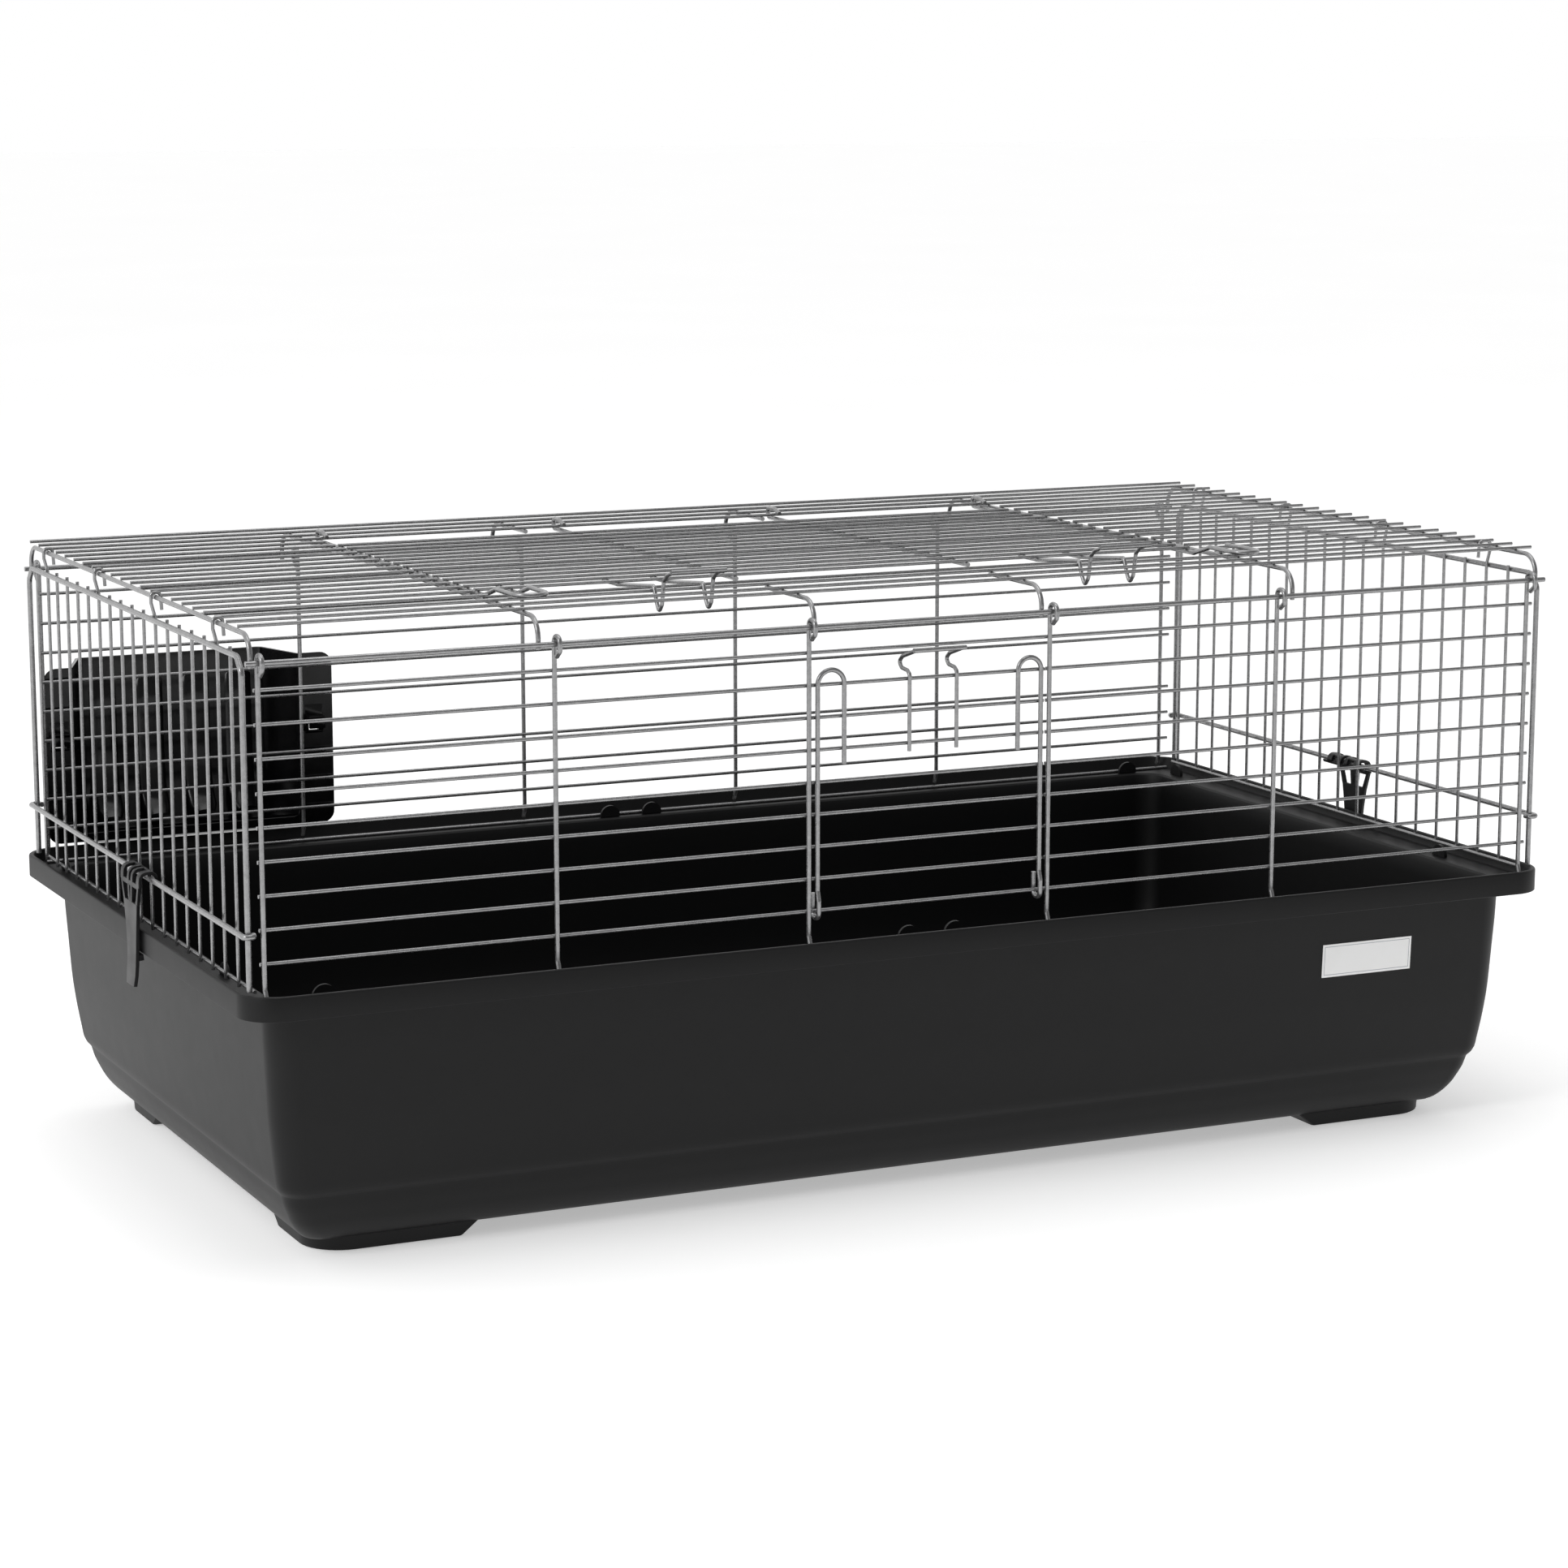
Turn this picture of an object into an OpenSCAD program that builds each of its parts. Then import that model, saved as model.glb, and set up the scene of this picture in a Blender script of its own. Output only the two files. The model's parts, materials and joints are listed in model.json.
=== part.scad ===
// Wire rabbit cage on a deep plastic tray, with two wire doors, two side clips and a hay rack.
// Millimetres, +Z up. X runs along the cage, the front faces -Y, and the tray's feet stand on Z = 0.

/* [Tray] */
// Length over the rim
tray_length = 1000; // [900:1:1100]
// Depth over the rim
tray_depth = 558.4; // [500:0.2:620]
// Height of the rim's top lip
rim_top = 190.5; // [160:0.5:220]
// Corner radius of the rim
rim_corner = 26; // [15:1:40]
// Height of the rim skirt
rim_skirt = 16.5; // [10:0.5:25]
// Thickness of the floor and the rim
wall = 2.5; // [2:0.1:4]
// Height of the ledge the wire stands on
ledge_z = 181.9; // [175:0.1:186]
// Width of the ledge, measured in from the rim
ledge_in = 25.5; // [22:0.5:30]

/* [Wire] */
// Radius of the upright and cross wires
r_up = 1.65; // [1.5:0.05:2]
// Radius of the horizontal row wires
r_row = 1.25; // [1:0.05:1.5]
// Radius of the long roof wires and the thin side uprights
r_thin = 1.2; // [1:0.05:1.4]
// Radius of the bars along the top front and back edges
r_bar = 1.8; // [1.5:0.05:2.2]
// Radius of the side frames and the latch bars
r_frame = 1.95; // [1.7:0.05:2.3]
// Radius of the sprung latch wires
r_latch = 1.4; // [1.2:0.05:1.6]
// How far crossing wires are sunk into each other at a weld
weld = 0.1; // [0.05:0.01:0.15]

/* [Front and back panels] */
// Positions of the six upright wires
uprights_x = [-483.3, -281.3, -97.3, 86.8, 270.0, 483.3];
// Distance of the upright wires from the middle plane
upright_y = 262.4; // [255:0.1:266]
// Height of the lowest evenly spaced row
row_low = 208.8; // [200:0.1:215]
// Spacing of the rows
row_pitch = 22.2; // [20:0.1:25]
// Left end of the rows
row_x0 = -485.4; // [-490:0.1:-484.9]
// Right end of the rows
row_x1 = 489.5; // [485:0.1:491]

/* [Roof] */
// Height of the roof's cross wires
cross_z = 422.3; // [415:0.1:430]
// Spacing of the long roof wires
roof_pitch = 24.07; // [20:0.01:28]
// Position of the rearmost long roof wire
roof_y0 = 266.8; // [260:0.1:267.5]
// Height of the bars along the front and back edges
bar_z = 404.7; // [400:0.1:408]
// Distance of those bars from the middle plane
bar_y = 267.35; // [267:0.05:268]

/* [Doors] */
// How far the closed top door hangs below the roof wires
top_drop = 0.5; // [0.4:0.1:1]
// Spacing of the top door's long wires
door_pitch = 20.09; // [18:0.01:22]
// Radius of the hinge eyes on the front door
eye_r = 4.9; // [4:0.1:5.5]

/* [Clips] */
// Middle of the left clip along its latch bar
left_clip_y = -30.0; // [-60:0.1:60]
// Middle of the right clip along its latch bar
right_clip_y = -5.8; // [-60:0.1:60]
// Running clearance of a clip on its bar
clip_fit = 0.08; // [0.02:0.01:0.1]

/* [Hay rack] */
// Gap between the rack's flange and the upright wires
rack_gap = 0.5; // [0.4:0.1:2]
// Thickness of the rack's moulding
rack_wall = 2.2; // [1.8:0.1:3]

/* [Part] */
// Piece to draw

/* [Hidden] */
zinc = [0.70, 0.71, 0.72];
black = [0.05, 0.05, 0.055];
half_x = tray_length / 2;
half_y = tray_depth / 2;
row_y = upright_y - r_up - r_row + weld;
row_bottom = ledge_z + r_row + 0.05;
long_z = cross_z + r_up + r_thin - weld;
end_leg_y = bar_y - r_bar - r_up + weld;
end_cross_x = [-488.3, 489.2];
opening_cross_x = [-293.1, 281.4];
frame_x = [-492.0, 495.9];
frame_leg_y = 257.1;
frame_top = 407.4;
side_up_x = [frame_x[0] + r_frame + r_thin - weld, frame_x[1] - r_frame - r_thin + weld];
latch_bar_x = [frame_x[0] - 2 * r_frame + weld, frame_x[1] + 2 * r_frame - weld];
latch_bar_z = 227.7;
hinge_y = roof_y0 - 3 * roof_pitch;
door_cross_z = cross_z - top_drop;
door_long_z = door_cross_z + r_up + r_thin - weld;
door_cross_x = [-91.8, 90.9];
door_side_x = [-283.2, 273.5];
door_hairpin_x = [-259.0, 294.0];
over_z = long_z + r_thin + r_up + 0.5;
latch_under = door_long_z - r_thin - r_latch + weld;
gate_x0 = -94.2;
gate_x1 = 83.6;
gate_outer = [-90.8, 80.2];
gate_inner = [-70.9, 62.3];
gate_latch_x = [-21.3, 14.8];
gate_latch_y = row_y + r_row + r_latch - weld;
// A bend is a hair thicker than the straight wire, which runs a short way into it.
swell = 0.03;
lap = 0.2;

// ---- wire helpers ----

module rod_x(x0, x1, y, z, r) {
    translate([x0, y, z]) rotate([0, 90, 0]) cylinder(r = r, h = x1 - x0, $fn = 20);
}

module rod_y(x, y0, y1, z, r) {
    translate([x, y1, z]) rotate([90, 0, 0]) cylinder(r = r, h = y1 - y0, $fn = 20);
}

module rod_z(x, y, z0, z1, r) {
    translate([x, y, z0]) cylinder(r = r, h = z1 - z0, $fn = 20);
}

function heading(p, i) = atan2(p[i + 1][1] - p[i][1], p[i + 1][0] - p[i][0]);
function turn(p, i) = let (t = heading(p, i) - heading(p, i - 1)) t > 180 ? t - 360 : (t < -180 ? t + 360 : t);
function cut(p, b, i) = (i == 0 || i == len(p) - 1) ? 0 : b[i - 1] * tan(abs(turn(p, i)) / 2);

// A round wire bent in the plane z = 0 through corner points p, with bend radii b at the inner corners.
module bent(p, b, r) {
    n = len(p);
    for (i = [0 : n - 2]) {
        a = heading(p, i);
        t0 = cut(p, b, i);
        lap0 = i == 0 ? 0 : lap;
        lap1 = i == n - 2 ? 0 : lap;
        run = norm(p[i + 1] - p[i]) - t0 - cut(p, b, i + 1) + lap0 + lap1;
        translate([p[i][0] + (t0 - lap0) * cos(a), p[i][1] + (t0 - lap0) * sin(a), 0])
            rotate([0, 0, a]) rotate([0, 90, 0]) cylinder(r = r, h = run, $fn = 20);
    }
    for (i = [1 : n - 2]) {
        a = heading(p, i - 1);
        t = turn(p, i);
        s = t > 0 ? 1 : -1;
        c = cut(p, b, i);
        start = [p[i][0] - c * cos(a), p[i][1] - c * sin(a)];
        translate([start[0] - s * b[i - 1] * sin(a), start[1] + s * b[i - 1] * cos(a), 0])
            rotate([0, 0, s > 0 ? a - 90 : a + 90 + t])
                rotate_extrude(angle = abs(t), $fn = 32) translate([b[i - 1], 0]) circle(r = r + swell, $fn = 20);
    }
}

module in_yz(x) {
    translate([x, 0, 0]) rotate([90, 0, 90]) children();
}

module in_xz(y) {
    translate([0, y, 0]) rotate([90, 0, 0]) children();
}

module in_xy(z) {
    translate([0, 0, z]) children();
}

// ---- tray ----

function arc_ring(a, b, c, z) = [
    for (q = [0 : 3]) for (s = [0 : 7])
        let (t = q * 90 + s * 90 / 7, sx = (q == 0 || q == 3) ? 1 : -1, sy = (q < 2) ? 1 : -1)
            [sx * (a - c) + c * cos(t), sy * (b - c) + c * sin(t), z]
];
outer_profile = [
    [52.6, 12.4], [47.9, 17.4], [43.9, 23.2], [41.0, 29.0], [37.7, 36.7], [35.9, 43.5], [35.1, 45.4],
    [32.8, 48.3], [31.1, 52.2], [30.0, 59.0], [27.8, 73.5], [24.7, 102.5], [23.1, 131.5], [21.5, 165.3],
    [20.9, ledge_z - wall], [3.6, ledge_z - wall + 0.4], [wall, ledge_z - wall - 1.0],
    [wall, rim_top - rim_skirt]
];
lip_profile = [
    [0, rim_top - rim_skirt], [0, rim_top - 1.2], [0.5, rim_top - 0.3], [1.3, rim_top],
    [2.4, rim_top], [3.1, rim_top - 0.4], [4.6, ledge_z + 0.8], [5.4, ledge_z], [ledge_in, ledge_z],
    [ledge_in + 2.2, ledge_z - 1.4], [ledge_in + 3.8, ledge_z - 5.5]
];
inner_profile = [
    [29.3, 131.5], [29.8, 102.5], [31.0, 73.5], [32.9, 59.0], [34.0, 52.2], [35.7, 48.6], [37.9, 45.4],
    [40.5, 36.7], [43.8, 29.0], [46.6, 23.2], [50.6, 17.9], [54.8, 14.6]
];
tray_profile = concat([[88.0, 6.0], [56.4, 10.0]], outer_profile, lip_profile, inner_profile, [[64.0, 12.2], [84.0, 9.6]]);
tray_rings = [for (p = tray_profile) arc_ring(half_x - p[0], half_y - p[0], max(rim_corner - 0.25 * p[0], 8), p[1])];
ring_n = 32;
tray_points = [for (r = tray_rings) for (q = r) q];
tray_faces = concat(
    [[for (i = [0 : ring_n - 1]) i]],
    [for (k = [0 : len(tray_rings) - 2]) for (i = [0 : ring_n - 1])
        [k * ring_n + i, (k + 1) * ring_n + i, (k + 1) * ring_n + (i + 1) % ring_n, k * ring_n + (i + 1) % ring_n]],
    [[for (i = [ring_n - 1 : -1 : 0]) (len(tray_rings) - 1) * ring_n + i]]
);

// A corner foot with upright outer walls and sloping inner ends; the cage's corner is at +X +Y.
module foot() {
    hull() {
        translate([411.5, 192, 0]) cylinder(r = 30, h = 0.1, $fn = 32);
        translate([336, 147, 0]) cube([20, 75, 0.1]);
        translate([336, 147, 0]) cube([105.5, 20, 0.1]);
        translate([411.5, 192, 11]) cylinder(r = 30.6, h = 0.1, $fn = 32);
        translate([323, 134, 11]) cube([20, 88.6, 0.1]);
        translate([323, 134, 11]) cube([119.1, 20, 0.1]);
    }
}

module tray() {
    color(black) {
        polyhedron(points = tray_points, faces = tray_faces, convexity = 6);
        for (sx = [-1, 1]) {
            for (sy = [-1, 1]) {
                mirror([sx < 0 ? 1 : 0, 0, 0]) mirror([0, sy < 0 ? 1 : 0, 0]) foot();
            }
        }
    }
}

// A round-topped tab that stands on the ledge and keeps the wire from sliding inwards, facing along Y.
module tab() {
    intersection() {
        translate([0, 1.2, 0]) rotate([90, 0, 0]) cylinder(r = 8.2, h = 2.4, $fn = 32);
        translate([-10, -3, -0.7]) cube([20, 6, 20]);
    }
}

module tray_tabs() {
    color(black) {
        for (x = [-441.2, -17.4, 18.4]) {
            translate([x, -254.9, ledge_z + 1.0]) tab();
        }
        for (x = [-27.1, 9.0, 448.5]) {
            translate([x, 254.9, ledge_z + 1.0]) tab();
        }
        for (y = [-166.2, 226.0]) {
            translate([-480.0, y, ledge_z + 1.0]) rotate([0, 0, 90]) tab();
        }
        for (y = [-166.2, 226.0]) {
            translate([480.0, y, ledge_z + 1.0]) rotate([0, 0, 90]) tab();
        }
    }
}

module label() {
    color([0.9, 0.9, 0.9]) translate([357, -half_y + 22.85, 133.5]) rotate([93, 0, 0])
        translate([-38, -12.3, 0]) cube([76, 24.6, 0.4]);
}

// ---- roof ----

module roof_bars() {
    color(zinc) {
        rod_x(-492.7, 494.7, -bar_y, bar_z, r_bar);
        rod_x(-492.7, 494.7, bar_y, bar_z, r_bar);
    }
}

cross_leg_z = bar_z - r_bar - 1.5;

module full_cross_wire(x) {
    in_yz(x) bent([[-end_leg_y, cross_leg_z], [-end_leg_y, cross_z], [end_leg_y, cross_z], [end_leg_y, cross_leg_z]],
        [14, 14], r_up);
}

module roof_left_cross_wires() {
    color(zinc) {
        full_cross_wire(end_cross_x[0]);
        full_cross_wire(opening_cross_x[0]);
    }
}

module roof_right_cross_wires() {
    color(zinc) {
        full_cross_wire(opening_cross_x[1]);
        full_cross_wire(end_cross_x[1]);
    }
}

module roof_front_cross_wires() {
    color(zinc) for (x = [-94.2, 79.2]) {
        in_yz(x) bent([[-end_leg_y, cross_leg_z], [-end_leg_y, cross_z], [-188.5, cross_z]], [14], r_up);
    }
}

module roof_back_cross_wires() {
    color(zinc) for (x = [-121.0, 79.2]) {
        in_yz(x) bent([[end_leg_y, cross_leg_z], [end_leg_y, cross_z], [192.6, cross_z]], [14], r_up);
    }
}

module roof_back_wires() {
    color(zinc) for (i = [0 : 3]) {
        rod_x(-488.0, 502.5, roof_y0 - i * roof_pitch, long_z, r_thin);
    }
}

module roof_front_wires() {
    color(zinc) for (i = [19 : 21]) {
        rod_x(-488.0, 502.5, roof_y0 - i * roof_pitch, long_z, r_thin);
    }
}

module roof_left_wires() {
    color(zinc) for (i = [4 : 18]) {
        rod_x(-488.0, -290.5, roof_y0 - i * roof_pitch, long_z, r_thin);
    }
}

module roof_right_wires() {
    color(zinc) for (i = [4 : 18]) {
        rod_x(278.8, 502.5, roof_y0 - i * roof_pitch, long_z, r_thin);
    }
}

// ---- front and back panels ----

// One upright of the front panel, with its foot behind the rim and its loop over the roof bar.
module upright(x) {
    loop = bar_y - upright_y;
    in_yz(x) bent([[-upright_y - 2.6, 186.0], [-upright_y, 192.5], [-upright_y, bar_z + loop],
        [-upright_y - 2 * loop, bar_z + loop], [-upright_y - 2 * loop, 400.6], [-upright_y - 4.4, 396.4]],
        [4, loop - 0.4, loop - 0.4, 3], r_up);
}

module row(x0, x1, z) {
    rod_x(x0, x1, -row_y, z, r_row);
}

module front_left_uprights() {
    color(zinc) for (i = [0 : 2]) {
        upright(uprights_x[i]);
    }
}

module front_right_uprights() {
    color(zinc) for (i = [3 : 5]) {
        upright(uprights_x[i]);
    }
}

module front_left_rows() {
    color(zinc) for (i = [2 : 8]) {
        row(row_x0, uprights_x[2] + 1.4, row_low + (9 - i) * row_pitch);
    }
}

module front_right_rows() {
    color(zinc) for (i = [2 : 8]) {
        row(uprights_x[3] - 1.4, row_x1, row_low + (9 - i) * row_pitch);
    }
}

module front_top_row() {
    color(zinc) row(row_x0, row_x1, row_low + 8 * row_pitch);
}

module front_low_rows() {
    color(zinc) {
        row(row_x0, row_x1, row_low);
        row(row_x0, row_x1, row_bottom);
    }
}

module back_uprights() {
    color(zinc) mirror([0, 1, 0]) {
        for (x = uprights_x) {
            upright(x);
        }
    }
}

module back_rows() {
    color(zinc) mirror([0, 1, 0]) {
        for (i = [1 : 9]) {
            row(row_x0, row_x1, row_low + (9 - i) * row_pitch);
        }
        row(row_x0, row_x1, row_bottom);
    }
}

// ---- side panels ----

hooked = [1, 6, 11, 16];
function side_y(i) = i == 1 ? 215.4 : 245.8 - 27.69 * i;

module side_frame(x) {
    in_yz(x) bent([[-frame_leg_y, 191.0], [-frame_leg_y, frame_top - 9], [-frame_leg_y + 9, frame_top],
        [frame_leg_y - 9, frame_top], [frame_leg_y, frame_top - 9], [frame_leg_y, 191.0]], [6, 6, 6, 6], r_frame);
}

// Thin uprights; d is +1 on the left side, where the outside is towards -X, and -1 on the right side.
module side_uprights(x, d, hx) {
    for (i = [0 : 17]) {
        if (i == 1 || i == 6 || i == 11 || i == 16) {
            h = r_up + r_thin + 0.4;
            in_xz(side_y(i)) bent([[x, 187.5], [x, 408.2], [x - d * 2.6, cross_z - 4], [x - d * 2.6, cross_z + h],
                [hx + d * h, cross_z + h], [hx + d * (h + 0.8), 413.5]], [2, 2, h - 0.4, h - 0.4], r_thin);
        } else {
            rod_z(x, side_y(i), 187.5, 410.4, r_thin);
        }
    }
}

// The latch bar runs outside the frame legs and its ends wrap round them.
module latch_bar(x, d) {
    e = frame_leg_y + 2 * r_frame + 0.4;
    in_xy(latch_bar_z) bent([[x + d * 7.4, -e + 4.5], [x + d * 6.0, -e], [x, -e], [x, e], [x + d * 6.0, e],
        [x + d * 7.4, e - 4.5]], [2.1, 3.2, 3.2, 2.1], r_frame);
}

module left_frame() {
    color(zinc) side_frame(frame_x[0]);
}

module right_frame() {
    color(zinc) side_frame(frame_x[1]);
}

module left_uprights() {
    color(zinc) side_uprights(side_up_x[0], 1, end_cross_x[0]);
}

module right_uprights() {
    color(zinc) side_uprights(side_up_x[1], -1, end_cross_x[1]);
}

module left_latch_bar() {
    color(zinc) latch_bar(latch_bar_x[0], 1);
}

module right_latch_bar() {
    color(zinc) latch_bar(latch_bar_x[1], -1);
}

module left_bottom_wire() {
    color(zinc) rod_y(side_up_x[0] + r_thin + r_row - weld, -251.5, 251.5, 189.2, r_row);
}

module right_bottom_wire() {
    color(zinc) rod_y(side_up_x[1] - r_thin - r_row + weld, -251.5, 251.5, 189.2, r_row);
}

// ---- top door ----

module top_door_wires() {
    color(zinc) for (i = [0 : 14]) {
        rod_x(-286.5, 275.5, 150.8 - i * door_pitch, door_long_z, r_thin);
    }
}

// The rear end of each door cross wire loops round the long roof wire that is the hinge.
function hook_path(y_end) = [[y_end, door_cross_z], [hinge_y + 13.4, door_cross_z], [hinge_y + 13.4, long_z + 4.4],
    [hinge_y + 1.5, long_z + 4.4], [hinge_y - 8.0, long_z + 1.4]];

module top_door_cross_wires() {
    color(zinc) for (x = door_cross_x) {
        in_yz(x) bent(hook_path(-132.8), [3.6, 3.6, 4], r_up);
    }
}

// Each side wire rises over the front strip and turns back on itself as a hairpin that rests on the roof.
module side_wire(x, xi, inner_end) {
    w = abs(xi - x) / 2;
    in_yz(x) bent(concat([[-203 + w - lap, over_z], [-164, over_z], [-141, door_cross_z]],
        [for (i = [1 : 4]) hook_path(0)[i]]), [6, 6, 3.6, 3.6, 4], r_up);
    translate([(x + xi) / 2, -203 + w, over_z]) rotate([0, 0, 180])
        rotate_extrude(angle = 180, $fn = 32) translate([w, 0]) circle(r = r_up + swell, $fn = 20);
    in_yz(xi) bent(inner_end, [6, 6], r_up);
}

module top_door_side_wires() {
    wl = (door_hairpin_x[0] - door_side_x[0]) / 2;
    wr = (door_hairpin_x[1] - door_side_x[1]) / 2;
    color(zinc) {
        side_wire(door_side_x[0], door_hairpin_x[0],
            [[-203 + wl - lap, over_z], [-164, over_z], [-141, door_cross_z], [-104, door_cross_z]]);
        side_wire(door_side_x[1], door_hairpin_x[1],
            [[-203 + wr - lap, over_z], [-170, over_z], [-160, over_z - 0.4], [-153, over_z - 0.4]]);
    }
}

module top_latch(x0, x1) {
    p = [[-104, latch_under], [-129, latch_under], [-192.4, over_z], [-196.4, 418.5], [-201.0, 411.8],
        [-205.9, 417.5], [-209.2, 433.7], [-215.5, 438.3], [-226.2, 441.3]];
    b = [10, 2.4, 4, 2.2, 4, 3, 4];
    for (x = [x0, x1]) {
        in_yz(x) bent(p, b, r_latch);
    }
    translate([0, -226.2, 441.3]) {
        rod_x(x0 - r_latch - 0.6, x1 + r_latch + 0.6, 0, 0, r_latch + 0.25);
    }
}

module top_latch_left() {
    color(zinc) top_latch(-180.1, -143.7);
}

module top_latch_right() {
    color(zinc) top_latch(148.5, 185.0);
}

// ---- front door ----

module front_door_rows() {
    color(zinc) for (i = [2 : 8]) {
        row(gate_x0, gate_x1, row_low + (9 - i) * row_pitch);
    }
}

// An outer leg ends below in an eye round the hinge row; above, an arc joins it to the short inner leg.
module gate_side(xo, xi) {
    w = abs(xi - xo) / 2;
    arch_z = 364.3;
    in_yz(xo) bent([[-row_y + eye_r, 220.4], [-row_y + eye_r, row_low - eye_r], [-row_y - eye_r, row_low - eye_r],
        [-row_y - eye_r, 216.0], [-upright_y, 223.0], [-upright_y, arch_z + lap]],
        [eye_r - 0.4, eye_r - 0.4, 4, 4], r_up);
    in_xz(-upright_y) translate([(xo + xi) / 2, arch_z, 0])
        rotate_extrude(angle = 180, $fn = 32) translate([w, 0]) circle(r = r_up + swell, $fn = 20);
    rod_z(xi, -upright_y, 309.3, arch_z + lap, r_up);
}

module front_door_side_wires() {
    color(zinc) {
        gate_side(gate_outer[0], gate_inner[0]);
        gate_side(gate_outer[1], gate_inner[1]);
    }
}

module front_door_latch() {
    p = [[-gate_latch_y, 314.4], [-gate_latch_y, 367.2], [-258.6, 369.6], [-250.1, 370.4], [-246.0, 374.2],
        [-251.3, 378.4], [-271.8, 384.8]];
    color(zinc) {
        for (x = gate_latch_x) {
            in_yz(x) bent(p, [2.6, 2.6, 2.6, 2.6, 4], r_latch);
        }
        rod_x(gate_latch_x[0] - r_latch - 0.6, gate_latch_x[1] + r_latch + 0.6, -271.8, 384.8, r_latch + 0.25);
    }
}

// ---- side clips ----

// Drawn for the left side, with the bar's axis at the origin and the outside towards -X.
// The claw runs from the arm to claw_x, just under the rim.
module clip(claw_x) {
    difference() {
        union() {
            rotate([90, 0, 0]) translate([0, 0, -29]) cylinder(r = 5.3, h = 58, $fn = 48);
            translate([-8.6, -18, -26.0]) cube([3.0, 36, 28]);
            translate([-8.6, -14, -40.0]) cube([3.0, 28, 16]);
            translate([-8.6, -10.5, -72.0]) cube([3.0, 21, 36]);
            translate([-8.6, -20, 0]) cube([8.6, 40, 5.0]);
            translate([-8.6, -10.5, -60.0]) cube([8.6 + claw_x, 21, 5.8]);
            translate([-10.4, -10.5, -78.0]) cube([3.4, 21, 12.0]);
            translate([-10.4, -1.5, -24.0]) cube([2.0, 3, 20]);
        }
        rotate([90, 0, 0]) translate([0, 0, -30]) cylinder(r = r_frame + clip_fit, h = 60, $fn = 48);
        translate([-3.2, -18.5, -12]) cube([12, 37, 9.3]);
        translate([0.2, -18, -3]) cube([12, 12, 12]);
        translate([0.2, 6, -3]) cube([12, 12, 12]);
        translate([-9, -15, -22]) cube([4, 9, 14]);
        translate([-9, 6, -22]) cube([4, 9, 14]);
    }
}

module left_clip() {
    color(black) translate([latch_bar_x[0], left_clip_y, latch_bar_z]) clip(-2.6);
}

module right_clip() {
    color(black) translate([latch_bar_x[1], right_clip_y, latch_bar_z]) rotate([0, 0, 180]) clip(1.6);
}

// ---- hay rack ----

rack_top = 328.6;

// The tub narrows to the back; it is open to the cage and at the top.
module rack_shell(grow, y0, y1, top) {
    hull() {
        translate([-460 - grow, y0, 201.5 - grow]) cube([177 + 2 * grow, 0.01, top - 201.5 + grow]);
        translate([-443.8 - grow, y1, 206 - grow]) cube([147.6 + 2 * grow, 0.01, top - 206 + grow]);
    }
}

// The foot of the tub hangs lower behind the rim of the tray.
module rack_foot(y0) {
    hull() {
        translate([-452, y0 + 0.5, 203]) cube([161, 43.5, 0.2]);
        translate([-446, y0 + 19.5, 188]) cube([149, 22, 0.2]);
    }
}

module hay_rack() {
    y0 = upright_y + r_up + rack_gap;
    hook_z = row_low + 3 * row_pitch + r_row + 0.45;
    color([0.04, 0.04, 0.045]) difference() {
        union() {
            translate([-482, y0, 194.8]) cube([227, rack_wall, rack_top - 194.8]);
            rack_shell(rack_wall, y0 + 0.5, y0 + 50, rack_top);
            rack_foot(y0);
            for (x = [-477.5, -277]) {
                translate([x, y0 - 9.4, hook_z]) cube([13, 9.6, 3.0]);
                translate([x, y0 - 9.4, hook_z - 6.6]) cube([13, 2.2, 9.0]);
                translate([x - 1.5, y0 - 0.2, hook_z - 12]) cube([16, 5, 24]);
            }
        }
        rack_shell(0, y0 - 1, y0 + 50 - rack_wall, rack_top + 10);
        for (x = [-477.5, -277]) {
            translate([x + 2.5, y0 - 1, hook_z - 9]) cube([8, 8, 7]);
        }
    }
}

tray();
tray_tabs();
label();
roof_bars();
roof_left_cross_wires();
roof_right_cross_wires();
roof_front_cross_wires();
roof_back_cross_wires();
roof_back_wires();
roof_front_wires();
roof_left_wires();
roof_right_wires();
front_left_uprights();
front_right_uprights();
front_left_rows();
front_right_rows();
front_top_row();
front_low_rows();
back_uprights();
back_rows();
left_frame();
left_uprights();
left_latch_bar();
left_bottom_wire();
right_frame();
right_uprights();
right_latch_bar();
right_bottom_wire();
top_door_wires();
top_door_cross_wires();
top_door_side_wires();
top_latch_left();
top_latch_right();
front_door_rows();
front_door_side_wires();
front_door_latch();
left_clip();
right_clip();
hay_rack();
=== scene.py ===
"""Looks of the wire rabbit cage: studio, materials, and the moulded pieces in finer detail."""

import json
import math

import bmesh
import bpy
from mathutils import Matrix, Vector


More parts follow.
